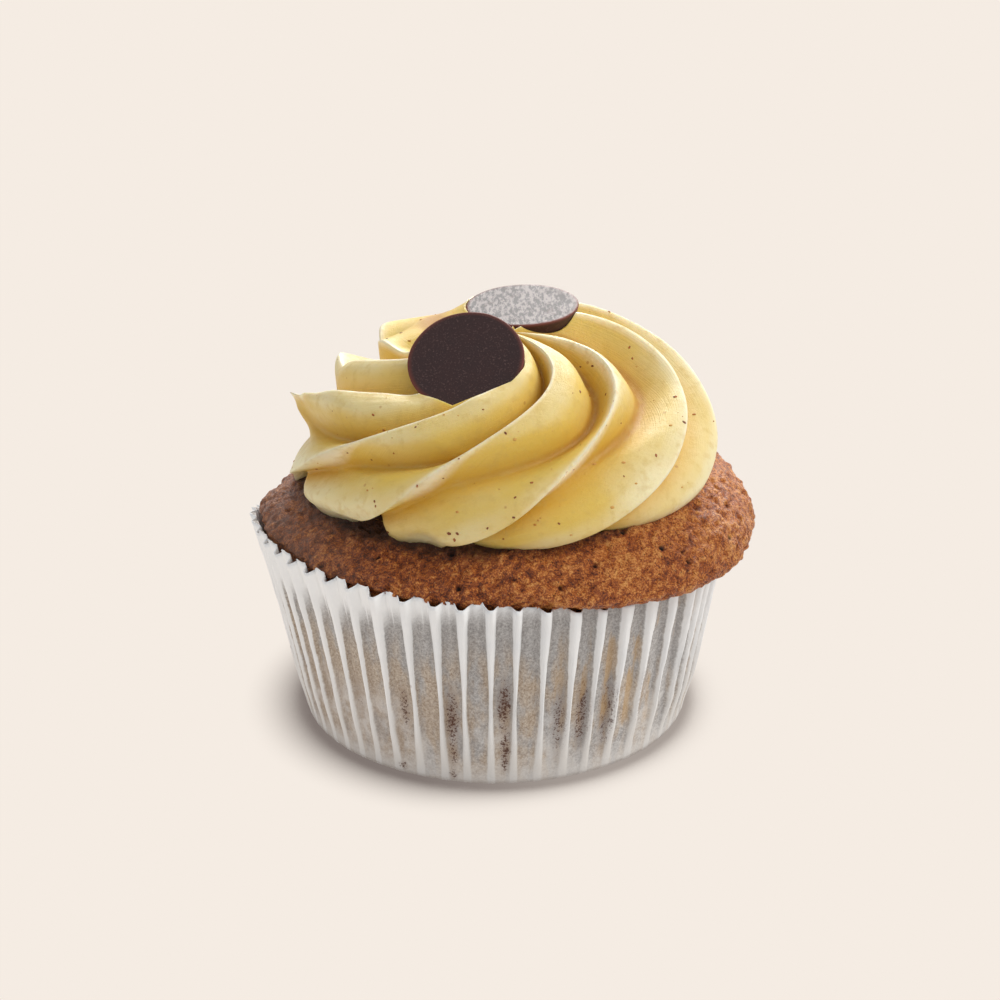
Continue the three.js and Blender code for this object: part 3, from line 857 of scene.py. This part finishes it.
# %% Chocolate discs: sizes and places
DISC_RADIUS = 6.9
DISC_THICKNESS = 1.7
DISC_TAPER = 0.35
DISCS = {
    "front": (np.array([-3.15, -9.7, 49.1]), Vector((-0.108, -0.569, 0.815)).normalized()),
    "back": (np.array([3.65, 7.0, 50.1]), Vector((-0.032, -0.04, 0.999)).normalized()),
}
COVER_SIDE = np.array([-0.3769, 0.3305, 0.8653])
COVER_FROM = 4.4
DISC_COLUMNS = 160
BED_ROOM = 0.12
CLEAR_ABOVE = 6.0


def lathe(name, profile, centre, faces, wobble=0.0):
    """Turns a profile of (radius, height) round the disc's own axis and puts it in its place."""
    a = np.arange(DISC_COLUMNS) / DISC_COLUMNS * TURN
    uneven = 1 + wobble * (0.5 * np.sin(2 * a + 1) + 0.3 * np.sin(3 * a + 4) + 0.2 * np.sin(7 * a))
    rings = [np.stack([r * uneven * np.cos(a), r * uneven * np.sin(a), h + 0 * a], 1) for r, h in profile]
    turn = np.array(Vector((0, 0, 1)).rotation_difference(faces).to_matrix())
    place = lambda points: np.asarray(points) @ turn.T + centre
    low, high = [0, 0, profile[0][1]], [0, 0, profile[-1][1]]
    return ring_body(name, place(np.array(rings)), place(low), place(high))


def cut_bed(name, side):
    centre, faces = DISCS[side]
    above = BED_ROOM if name == "bed_front" else CLEAR_ABOVE
    r = DISC_RADIUS + BED_ROOM
    profile = [(r - DISC_TAPER, -DISC_THICKNESS - BED_ROOM), (r, -0.1), (r, above)]
    cutter = lathe(name, profile, centre, faces)
    if name == "clearing":
        trim_cutter(cutter, centre)
    hole = icing.modifiers.new(name, "BOOLEAN")
    hole.operation = "DIFFERENCE"
    hole.solver = "EXACT"
    hole.object = cutter
    return cutter


def trim_cutter(cutter, centre):
    work = bmesh.new()
    work.from_mesh(cutter.data)
    point = (centre - COVER_SIDE * COVER_FROM) * MM
    geometry = work.verts[:] + work.edges[:] + work.faces[:]
    cut = bmesh.ops.bisect_plane(work, geom=geometry, plane_co=point, plane_no=COVER_SIDE, clear_inner=True)
    edges = [e for e in cut["geom_cut"] if isinstance(e, bmesh.types.BMEdge)]
    bmesh.ops.edgeloop_fill(work, edges=edges)
    bmesh.ops.recalc_face_normals(work, faces=work.faces)
    work.to_mesh(cutter.data)
    work.free()


# %% Press the beds
cutters = [cut_bed("bed_front", "front"), cut_bed("bed_back", "back"), cut_bed("clearing", "front")]
settle(icing)
for cutter in cutters:
    bpy.data.objects.remove(cutter)


# %% [markdown]
# Butter icing is opaque but lets a little light through its thin crests, so it gets a short
# subsurface radius. Its colour carries painted shade, deeper and more golden in the creases and on the
# steep undersides, and painted highlight and sheen, paler on the crests, the outer sides and the foot.
# Fine lines from the nozzle run along each arm. These follow the arm through the UV map instead of
# the object's axes.


# %% Finish of the icing
def icing_finish():
    light_inside = {"Subsurface_Radius": (1.0, 0.8, 0.35), "Subsurface_Scale": 0.001}
    material, bench, shader, where = start_finish("caramel_icing", 0.45, Subsurface_Weight=0.3, **light_inside)
    arm, lie = (bench.node("ShaderNodeUVMap", uv_map=name) for name in ("arm", "lie"))
    along, hollow = bench.split(arm), bench.split(lie)
    across, steep = along.also("Y"), hollow.also("Y")
    edge = across.maths("MINIMUM", 1 - across)
    crest = (1 - bench.step(0.0, 0.07, edge)) * bench.step(0.1, 0.3, along)
    broad = bench.noise(where, 120, 2, 0.5)
    mottle = bench.noise(where, 700, 3, 0.6)
    streaks = bench.noise(bench.stretch(arm, (7, 90, 1)), 1.0, 4, 0.6)
    depth = hollow + (broad - 0.5) * 0.35
    pale, yellow = srgb(240, 228, 182), srgb(225, 191, 88)
    golden, deep = srgb(214, 166, 54), srgb(178, 118, 40)
    sideways = bench.split(where)
    # Painted sheen: paler on the right and left outer sides, at the foot on the left and away from the
    # creases, and less pale on the steep undersides. The broad noise adds random tone.
    outer = bench.step(0.008, 0.024, sideways) + bench.step(-0.01, -0.024, sideways) * 0.5
    left_side = bench.step(-0.004, -0.02, sideways)
    pale_tone_and_sheen = bench.step(0.35, 0.0, along) * (0.05 + left_side * 0.4) + outer * 0.4
    pale_tone_and_sheen = pale_tone_and_sheen + (broad - 0.5) * 0.9 + 0.14 - steep * 0.2
    colour = bench.tint(bench.step(0.0, 1.0, pale_tone_and_sheen + bench.step(0.3, 0.0, hollow) * 0.3), yellow, pale)
    # Painted shade: deeper golden in the creases and on the steep undersides, deepest at the bottom of the
    # creases.
    colour = bench.tint(bench.step(0.3, 0.95, depth) * (0.42 + steep * 0.5), colour, golden)
    low = bench.step(0.25, 0.6, along)
    colour = bench.tint(bench.step(0.82, 1.0, hollow) * low * 0.7, colour, deep)
    # Painted highlight: a pale line along each crest.
    colour = bench.tint(crest * 0.75, colour, srgb(250, 238, 208))
    colour = bench.tint(bench.step(0.48, 0.72, mottle) * 0.4, colour, srgb(210, 176, 92))
    dust = bench.dots(where, 420, 0.05, 0.12, 0.55, 0.6)
    colour = bench.tint(dust * 0.6, colour, srgb(180, 122, 52))
    stain = bench.dots(where, 190, 0.04, 0.16, 0.6, 0.7)
    colour = bench.tint(stain * 0.4, colour, srgb(206, 162, 78))
    relief = streaks * 0.6 + mottle * 0.4
    grain = bench.noise(where, 2400, 3, 0.65)
    normal = bumped(bench, relief, 0.00018, 0.7, bumped(bench, grain, 0.0001, 0.6))
    feed(bench, shader, Base_Color=colour, Roughness=0.34 + mottle * 0.24, Normal=normal)
    return material


icing.data.materials.clear()
icing.data.materials.append(icing_finish())

# %% [markdown]
# ## Specks in the icing
# Ground spice and vanilla show as brown specks, a tenth to half a millimetre across, set into the
# surface. They are small lumps scattered over the icing, so they stay in the mesh. The seed is fixed,
# so every run puts them in the same places.


# %% Finish of the specks
def speck_finish():
    material, bench, shader, where = start_finish("spice_speck", 0.3)
    tone = bench.noise(where, 330, 2)
    colour = bench.tint(bench.step(0.3, 0.44, tone), srgb(126, 66, 34), srgb(180, 120, 56))
    colour = bench.tint(bench.step(0.46, 0.58, tone), colour, srgb(212, 162, 88))
    bump = bumped(bench, bench.noise(where, 5000, 2), 0.00008, 0.6)
    feed(bench, shader, Base_Color=colour, Roughness=0.5 + tone * 0.3, Normal=bump)
    return material


# %% Scatter the specks
SPECKS = {"Density": 48000.0, "Smallest": 0.06, "Largest": 0.22, "Seed": 12}


def speck_tree(material):
    bench, given = start_tree("spice_specks", SPECKS)
    upright = bench.split(bench.node("GeometryNodeInputNormal")).also("Z") > -0.2
    sockets = {"Mesh": given["Geometry"], "Selection": upright}
    sockets.update(Density=given["Density"], Seed=given["Seed"])
    points = bench.node("GeometryNodeDistributePointsOnFaces", sockets)
    lump = bench.node("GeometryNodeMeshIcoSphere", {"Radius": 1.0, "Subdivisions": 2})
    chance = bench.random(given["Seed"] + 3)
    size = (given["Smallest"] + (given["Largest"] - given["Smallest"]) * chance**2) * MM
    shape = bench.join(size * 1.25, size * 0.8, size * 0.5)
    sockets = {"Points": points, "Instance": lump, "Rotation": points.also("Rotation"), "Scale": shape}
    end_tree(bench, bench.node("GeometryNodeInstanceOnPoints", sockets), material)
    return bench.tree


specks = settle(grow("icing_specks", speck_tree(speck_finish()), SPECKS, icing.data.copy()))

# %% [markdown]
# A few seeds are bigger and darker than the rest, and three of them lie together at the foot. Each is
# put at its own arm, place across it and climb, so it sits on the surface wherever the arms go.

# %% Dark seeds
# Arm, place across it, climb and size of each
SEEDS = (
    (2, 0.70, 0.071, 0.26), (2, 0.75, 0.075, 0.22), (2, 0.83, 0.054, 0.24), (1, 0.03, 0.113, 0.24),
    (0, 0.53, 0.504, 0.20), (3, 0.88, 0.479, 0.26), (3, 0.95, 0.383, 0.26), (3, 0.73, 0.321, 0.22),
    (3, 0.85, 0.650, 0.18), (3, 0.90, 0.662, 0.20), (2, 0.95, 0.767, 0.20), (2, 0.48, 0.679, 0.20),
    (2, 0.93, 0.658, 0.18), (4, 0.60, 0.000, 0.16), (1, 0.85, 0.158, 0.18), (1, 0.90, 0.138, 0.15),
    (2, 0.78, 0.246, 0.17), (2, 0.78, 0.312, 0.20), (2, 0.08, 0.512, 0.20), (1, 1.00, 0.267, 0.18),
    (1, 0.12, 0.500, 0.16), (2, 0.40, 0.013, 0.18), (3, 0.48, 0.092, 0.17), (3, 0.55, 0.279, 0.13),
    (2, 0.88, 0.100, 0.16), (3, 0.38, 0.033, 0.14), (1, 0.18, 0.350, 0.14), (1, 0.30, 0.400, 0.14),
    (1, 0.03, 0.329, 0.14), (2, 0.03, 0.333, 0.14), (2, 0.95, 0.154, 0.18), (6, 0.75, 0.683, 0.20),
    (6, 0.93, 0.667, 0.14),
)


def seed_bed(arm, f, u):
    """A place on the icing and the three directions of a seed that lies in it."""
    at = lambda df, du: icing_point(np.array([arm]), np.array([f + df]), np.array([u + du]))[0]
    here, across, up = at(0, 0), at(0.02, 0) - at(-0.02, 0), at(0, 0.004) - at(0, -0.004)
    out = np.cross(across, up)
    out /= np.linalg.norm(out)
    lie = across / np.linalg.norm(across)
    return here, np.stack([lie, np.cross(out, lie), out], 1)


def seed_mesh():
    work = bmesh.new()
    for number, (arm, f, u, size) in enumerate(SEEDS):
        here, turn = seed_bed(arm, f, u)
        spin = 2.4 * number
        round_here = np.array([[np.cos(spin), -np.sin(spin), 0], [np.sin(spin), np.cos(spin), 0], [0, 0, 1]])
        lump = bmesh.ops.create_icosphere(work, subdivisions=3, radius=1)["verts"]
        for vertex in lump:
            p = np.array(vertex.co)
            p = p * (1 + 0.16 * np.sin(5 * p[0] + number) * np.cos(4 * p[1] + 2 * number))
            vertex.co = (here + turn @ round_here @ (p * [size, size * 0.66, size * 0.36])) * MM
    mesh = bpy.data.meshes.new("icing_seeds")
    work.to_mesh(mesh)
    work.free()
    mesh.shade_smooth()
    return mesh


def seed_finish():
    material, bench, shader, where = start_finish("dark_seed", 0.4)
    tone = bench.noise(where, 1400, 3)
    colour = bench.tint(bench.step(0.35, 0.7, tone), srgb(112, 56, 30), srgb(186, 110, 52))
    bump = bumped(bench, tone, 0.00008, 0.6)
    feed(bench, shader, Base_Color=colour, Roughness=0.4 + tone * 0.3, Normal=bump)
    return material


seeds = add_object("icing_seeds", seed_mesh())
seeds.data.materials.append(seed_finish())
print("seeds", len(SEEDS))

# %% [markdown]
# ## Chocolate discs
# Two dark chocolate buttons lie on the icing, flat on top, with an eased edge and a side that draws in.
# The front one is plain and matt. The back one mirrors the window, and its face is painted streaky grey:
# partly the bloom of chocolate that has been warm, partly a painted reflection of the window. Both are
# turned, with the uneven outline of a cast, and both have a painted highlight on the eased edge.


# %% Finish of the chocolate
def chocolate_finish(name, bloom_and_reflection):
    material, bench, shader, where = start_finish(name, 0.42)
    face, edge = map(bench.attribute, ("face", "edge"))
    cloudy = bench.noise(where, 330, 4, 0.65)
    brushed = bench.noise(bench.stretch(where, (1, 0.3, 1)), 2300, 3, 0.7)
    dusty = bench.noise(where, 4200, 2, 0.7)
    # The back disc's painted grey, part bloom and part painted reflection, also lifts its dark colour.
    lift = 20 * bloom_and_reflection
    dark = bench.tint(cloudy, srgb(36 + lift, 15 + lift, 15 + lift), srgb(54 + lift, 27 + lift, 25 + lift))
    dark = bench.tint(bench.step(0.54, 0.76, dusty) * 0.5, dark, srgb(112, 84, 78))
    # Painted reflection and bloom: the back disc's face is painted streaky grey, with worn brown spots.
    grey = bench.tint(bench.step(0.42, 0.58, brushed), srgb(30, 18, 14), srgb(112, 98, 94))
    worn = bench.tint(bench.step(0.56, 0.66, cloudy) * 0.8, grey, srgb(70, 50, 42))
    colour = bench.tint(face * bloom_and_reflection, dark, worn)
    # Painted highlight: the eased edge is painted reddish, for the light it catches.
    colour = bench.tint(edge * 0.9, colour, srgb(116, 54, 38))
    dots = bench.dots(where, 700, 0.08, 0.14, 0.8, 0.82)
    colour = bench.tint(dots * 0.5, colour, srgb(150, 128, 118))
    rough = (0.56 - 0.16 * bloom_and_reflection) + cloudy * 0.12 + brushed * 0.1
    rough = rough + (0.6 - bench.step(0.36, 0.62, brushed)) * (0.1 * bloom_and_reflection)
    bump = bumped(bench, brushed * 0.5 + dusty * 0.5, 0.00004, 0.5)
    feed(bench, shader, Base_Color=colour, Roughness=rough, Normal=bump)
    return material


# %% Discs
EASED = 10


def chocolate_disc(side, bloom_and_reflection):
    """A cast disc; its eased edge starts at ring EASED of the profile."""
    centre, faces = DISCS[side]
    r, t = DISC_RADIUS, DISC_THICKNESS
    foot = r - DISC_TAPER
    profile = [(2.5, -t), (5.6, -t), (foot - 0.2, -t), (foot - 0.06, -t + 0.06), (foot, -t + 0.2)]
    profile += [(r - DISC_TAPER * (1 - k / 5), mix(-t + 0.2, -0.2, k / 5)) for k in range(1, 6)]
    profile += [(r - 0.03, -0.1), (r - 0.1, -0.03), (r - 0.2, 0.0), (r - 0.6, -0.01)]
    profile += [(q, -0.02) for q in (5.6, 4.4, 3.2, 2.0, 1.0)]
    disc = lathe(f"chocolate_disc_{side}_cast", profile, centre, faces, 0.012)
    # The edge number marks the rings of the eased edge that carry its painted highlight.
    beyond = np.arange(len(profile)) - EASED
    edge = np.interp(np.abs(beyond - 0.5), (0.5, 1.5, 2.5), (1, 0.5, 0))
    for name, values in {"face": beyond > 0, "edge": edge}.items():
        paint_points(disc, name, [values[0], *np.repeat(values, DISC_COLUMNS), values[-1]])
    disc.data.materials.append(chocolate_finish(f"chocolate_{side}", bloom_and_reflection))
    return disc


disc_front = chocolate_disc("front", 0.0)
disc_back = chocolate_disc("back", 0.85)

# %% [markdown]
# ## Table and light
# The picture has one even cream ground with only a thin shadow round the foot. A floor that is lit
# like everything else would carry a long shadow, so this one glows evenly and is darkened only where
# something stands within a few millimetres. The shadow is softer and darker on the left.

# %% Floor
CREAM = srgb(245, 236, 227)
TABLE_HALF = 2.0
SHADOW_REACH = 0.0085
FULL_SHADOW = 0.52
corners = [(x * TABLE_HALF, y * TABLE_HALF, 0) for x, y in ((-1, -1), (1, -1), (1, 1), (-1, 1))]
floor_mesh = bpy.data.meshes.new("pale_table")
floor_mesh.from_pydata(corners, [], [(0, 1, 2, 3)])
floor = add_object("pale_table", floor_mesh)
floor_finish = bpy.data.materials.new("pale_table")
bench = cleared(floor_finish)
shade = bench.node("ShaderNodeAmbientOcclusion", {"Distance": SHADOW_REACH}, "AO", samples=32)
sideways = bench.split(bench.node("ShaderNodeTexCoord", None, "Object"))
closeness = ((1 - shade) / FULL_SHADOW).maths("MINIMUM", 1)
tightness = 1.6 + 2.4 * bench.step(-0.014, 0.018, sideways)
darkest = bench.tint(bench.step(-0.012, 0.016, sideways), srgb(128, 118, 113), srgb(168, 158, 151))
toned = bench.tint(closeness**tightness, CREAM, darkest)
glow = bench.node("ShaderNodeEmission", {"Color": toned, "Strength": 1.0})
bench.node("ShaderNodeOutputMaterial", {"Surface": glow})
floor_mesh.materials.append(floor_finish)
floor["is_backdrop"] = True

# %% [markdown]
# The light is a pale room with one large soft window behind the cake, low enough for the back disc
# to mirror it. A weaker lamp from the upper right shapes the icing.

# %% World and window
LIT_POINT = Vector((0, 0, 0.04))
world = bpy.data.worlds.new("pale_room")
bench = cleared(world)
sky = bench.node("ShaderNodeBackground", {"Color": (0.92, 0.95, 1.0, 1), "Strength": 0.65})
bench.node("ShaderNodeOutputWorld", {"Surface": sky})
bpy.context.scene.world = world


def soft_lamp(name, place, size, power, tone):
    data = bpy.data.lights.new(name, "AREA")
    data.shape = "DISK"
    data.size = size
    data.energy = power
    data.color = tone
    lamp = add_object(name, data)
    lamp.location = place
    lamp.rotation_euler = (LIT_POINT - Vector(place)).to_track_quat("-Z", "Y").to_euler()


soft_lamp("window_behind", (0.16, 0.9, 0.52), 0.55, 10.5, (1.0, 0.98, 0.95))
soft_lamp("lamp_right", (0.75, -0.1, 0.75), 0.6, 5.2, (1.0, 0.97, 0.92))
bpy.context.scene.view_settings.view_transform = "Standard"

# %% [markdown]
# ## Riding on the body
# Each piece rides on the one body of the cupcake, and the solid it stands for is hidden.

# %% Ride and replace
PIECES = [
    (paper, "paper_case", "paper"),
    (cake, "cake", "sponge"),
    (icing, "icing", "cream"),
    (disc_front, "chocolate_disc_front", "chocolate"),
    (disc_back, "chocolate_disc_back", "chocolate"),
]
for piece, node, slot in PIECES:
    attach(piece, "root")
    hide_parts(node)
for topping in (specks, seeds):
    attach(topping, "root")

# %% Sizes against the CAD box
bpy.context.view_layer.update()
shown_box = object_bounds()
as_list = lambda box: [[round(float(v), 6) for v in corner] for corner in box]
{"cad": as_list(cad_box), "visual": as_list(shown_box)}
print("boxes", as_list(cad_box), as_list(shown_box))
